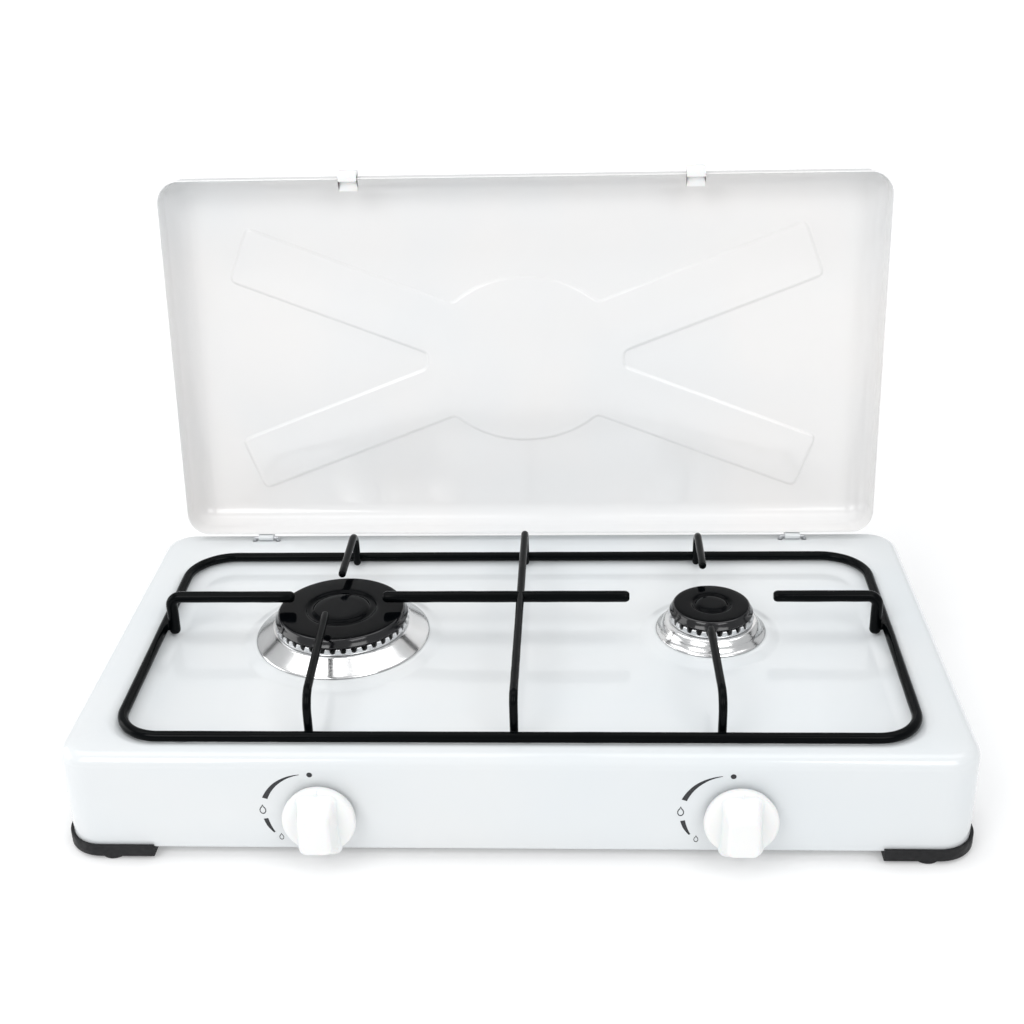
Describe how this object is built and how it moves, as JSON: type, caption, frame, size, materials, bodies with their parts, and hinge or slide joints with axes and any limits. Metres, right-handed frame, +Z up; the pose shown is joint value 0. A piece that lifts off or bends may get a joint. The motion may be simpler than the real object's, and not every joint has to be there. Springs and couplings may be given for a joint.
{
  "type": "camping stove",
  "caption": "Tabletop gas camping stove with a hinged lid, wire pan support, large and small burner, front knobs and a hose nozzle at the rear.",
  "frame": {"origin": "on the table, under the centre of the overall box with the lid open, knobs and hose nozzle included", "axes": "+X to the right as seen from the knobs, +Y to the rear, +Z up"},
  "size_m": [0.504, 0.3326, 0.3153],
  "materials": {
    "enamel_white": "gloss white vitreous enamel",
    "enamel_black": "gloss black vitreous enamel",
    "foot_rubber": "matt black",
    "cast_aluminium": "machined",
    "polished_cone": "polished",
    "plated_steel": "zinc plated",
    "brass": "machined",
    "white_plastic": "satin white"
  },
  "bodies": {
    "stove_base": {"casing": "enamel_white", "corner_foot_front_left": "foot_rubber", "corner_foot_front_right": "foot_rubber", "corner_foot_rear_left": "foot_rubber", "corner_foot_rear_right": "foot_rubber", "burner_cup_left": "cast_aluminium", "burner_skirt_left": "polished_cone", "burner_crown_left": "cast_aluminium", "mixing_tube_left": "plated_steel", "burner_screw_left_1": "plated_steel", "burner_screw_left_2": "plated_steel", "tap_body_left": "brass", "tap_cover_left": "plated_steel", "tap_bracket_left": "plated_steel", "injector_left": "brass", "tap_screw_left_1": "plated_steel", "tap_screw_left_2": "plated_steel", "hinge_wire_left": "plated_steel", "burner_cup_right": "cast_aluminium", "burner_skirt_right": "polished_cone", "burner_crown_right": "cast_aluminium", "mixing_tube_right": "plated_steel", "burner_screw_right_1": "plated_steel", "burner_screw_right_2": "plated_steel", "tap_body_right": "brass", "tap_cover_right": "plated_steel", "tap_bracket_right": "plated_steel", "injector_right": "brass", "tap_screw_right_1": "plated_steel", "tap_screw_right_2": "plated_steel", "hinge_wire_right": "plated_steel", "gas_manifold": "plated_steel", "hose_nozzle": "brass", "nozzle_locknut": "brass"},
    "lid": {"lid_panel": "enamel_white", "lid_tab_left": "enamel_white", "lid_tab_right": "enamel_white", "lid_clip_left": "white_plastic", "lid_clip_right": "white_plastic"},
    "pan_support": {"support_frame": "enamel_black", "support_centre_bar": "enamel_black", "support_cross_bar_left": "enamel_black", "support_cross_bar_right": "enamel_black", "support_side_finger_left": "enamel_black", "support_side_finger_right": "enamel_black", "support_front_finger_left": "enamel_black", "support_front_finger_right": "enamel_black", "support_rear_finger_left": "enamel_black", "support_rear_finger_right": "enamel_black"},
    "burner_cap_left": {"burner_cap_left": "enamel_black"},
    "burner_cap_right": {"burner_cap_right": "enamel_black"},
    "tap_core_left": {"tap_plug_left": "brass", "tap_spring_left": "plated_steel"},
    "knob_left": {"knob_left": "white_plastic", "tap_stem_left": "plated_steel"},
    "tap_core_right": {"tap_plug_right": "brass", "tap_spring_right": "plated_steel"},
    "knob_right": {"knob_right": "white_plastic", "tap_stem_right": "plated_steel"}
  },
  "joints": [
    {"name": "lid_hinge", "type": "hinge", "parent": "stove_base", "child": "lid", "pos_m": [0, 0.1133, 0.0693], "axis": [-1, 0, 0], "range_deg": [-96.5, 0]},
    {"name": "pan_support_lift", "type": "slide", "parent": "stove_base", "child": "pan_support", "axis": [0, 0, 1], "range_m": [0, 0.04]},
    {"name": "burner_cap_lift_left", "type": "slide", "parent": "stove_base", "child": "burner_cap_left", "axis": [0, 0, 1], "range_m": [0, 0.0035]},
    {"name": "burner_cap_lift_right", "type": "slide", "parent": "stove_base", "child": "burner_cap_right", "axis": [0, 0, 1], "range_m": [0, 0.03]},
    {"name": "tap_turn_left", "type": "hinge", "parent": "stove_base", "child": "tap_core_left", "pos_m": [-0.105, -0.1677, 0.032], "axis": [0, -1, 0], "range_deg": [0, 130]},
    {"name": "tap_turn_right", "type": "hinge", "parent": "stove_base", "child": "tap_core_right", "pos_m": [0.1215, -0.1677, 0.032], "axis": [0, -1, 0], "range_deg": [0, 130]},
    {"name": "knob_push_left", "type": "slide", "parent": "tap_core_left", "child": "knob_left", "axis": [0, 1, 0], "range_m": [0, 0.0025], "stiffness_N_per_m": 600, "springref_m": -0.003, "deforming": ["tap_spring_left"]},
    {"name": "knob_push_right", "type": "slide", "parent": "tap_core_right", "child": "knob_right", "axis": [0, 1, 0], "range_m": [0, 0.0025], "stiffness_N_per_m": 600, "springref_m": -0.003, "deforming": ["tap_spring_right"]}
  ]
}
